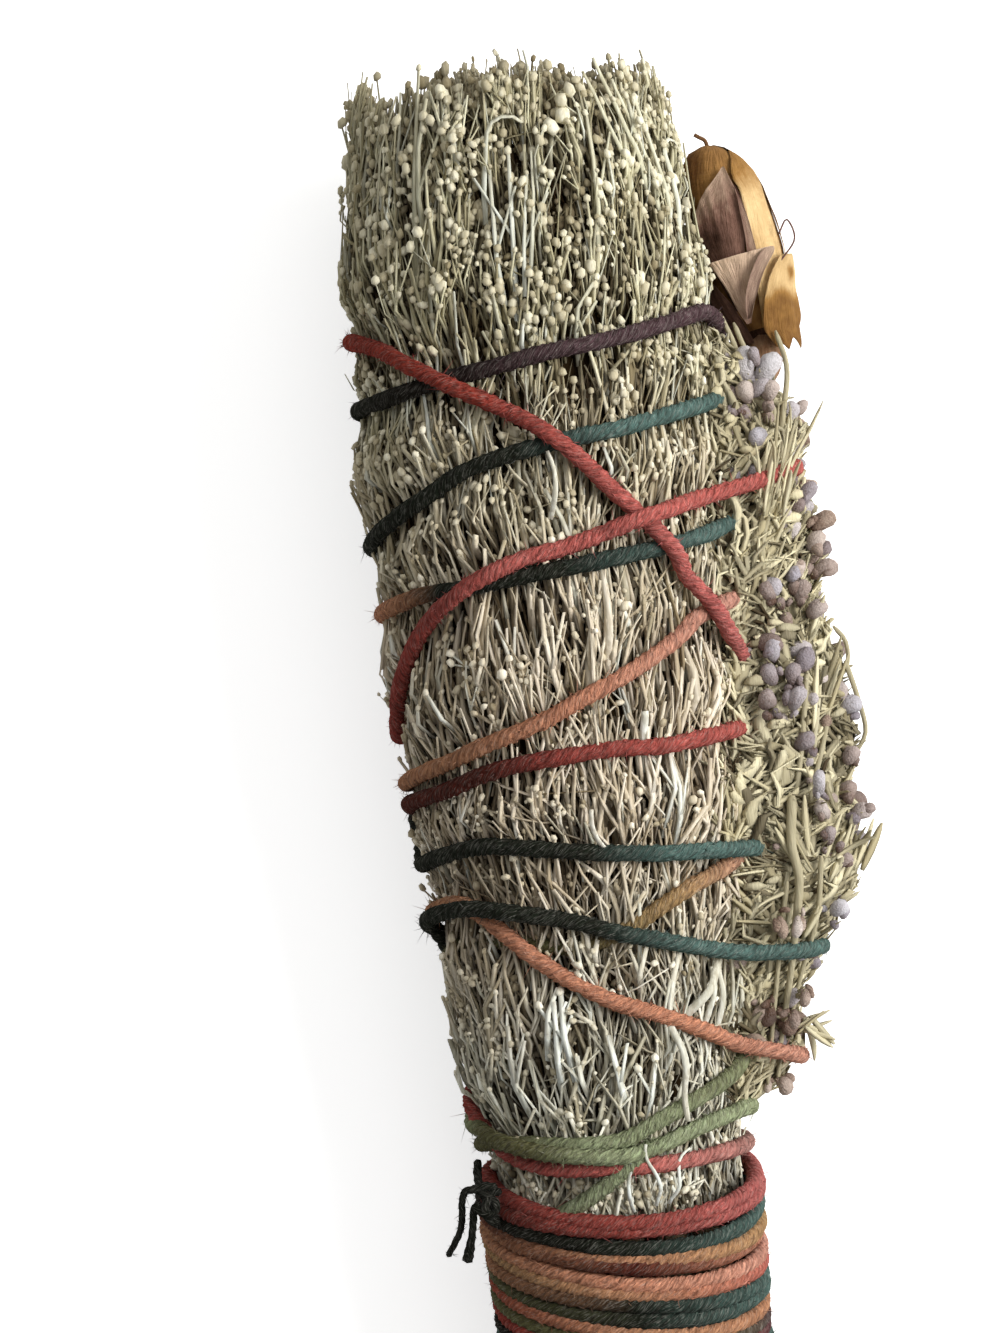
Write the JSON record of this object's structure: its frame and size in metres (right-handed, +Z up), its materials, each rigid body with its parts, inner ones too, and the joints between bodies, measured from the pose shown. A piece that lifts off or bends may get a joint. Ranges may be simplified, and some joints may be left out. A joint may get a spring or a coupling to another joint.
{
  "type": "smudge stick",
  "caption": "Dried sage bundle bound with variegated yarn, with a rosebud, lavender and needle-leaved herb tied to one side; it lies flat.",
  "frame": {"origin": "middle of the bounding box, on the plane that the stick lies on", "axes": "+Y along the stick from its cut base to its tips, +X towards the flower side, +Z up from the plane that it lies on"},
  "size_m": [0.0634, 0.207, 0.0526],
  "materials": {
    "sage": "dried pale grey-green leaves, buds and stems, matt",
    "yarn": "hand-dyed plied yarn, from red over peach and green to teal, matt",
    "rose_petal": "dried golden-brown petals, satin",
    "rose_green": "dried stem, hip and sepals, matt",
    "lavender": "dried grey-lilac buds on a pale stem, matt",
    "needles": "dried yellow-green needle leaves, matt"
  },
  "bodies": {
    "root": {"lavender_sprig_lower": "lavender", "lavender_sprig_upper": "lavender", "needle_sprig_lower": "needles", "needle_sprig_upper": "needles", "rose_furled_petals": "rose_petal", "rose_petal_amber": "rose_petal", "rose_petal_golden": "rose_petal", "rose_petal_mauve": "rose_petal", "rose_sepal_1": "rose_green", "rose_sepal_2": "rose_green", "rose_sepal_3": "rose_green", "rose_stem_and_hip": "rose_green", "sage_sprig_centre": "sage", "sage_sprig_inner_1": "sage", "sage_sprig_inner_2": "sage", "sage_sprig_inner_3": "sage", "sage_sprig_inner_4": "sage", "sage_sprig_inner_5": "sage", "sage_sprig_inner_6": "sage", "sage_sprig_outer_01": "sage", "sage_sprig_outer_02": "sage", "sage_sprig_outer_03": "sage", "sage_sprig_outer_04": "sage", "sage_sprig_outer_05": "sage", "sage_sprig_outer_06": "sage", "sage_sprig_outer_07": "sage", "sage_sprig_outer_08": "sage", "sage_sprig_outer_09": "sage", "sage_sprig_outer_10": "sage", "sage_sprig_outer_11": "sage", "sage_sprig_outer_12": "sage", "yarn_criss_cross": "yarn", "yarn_handle_winding": "yarn", "yarn_knot": "yarn"}
  },
  "joints": []
}
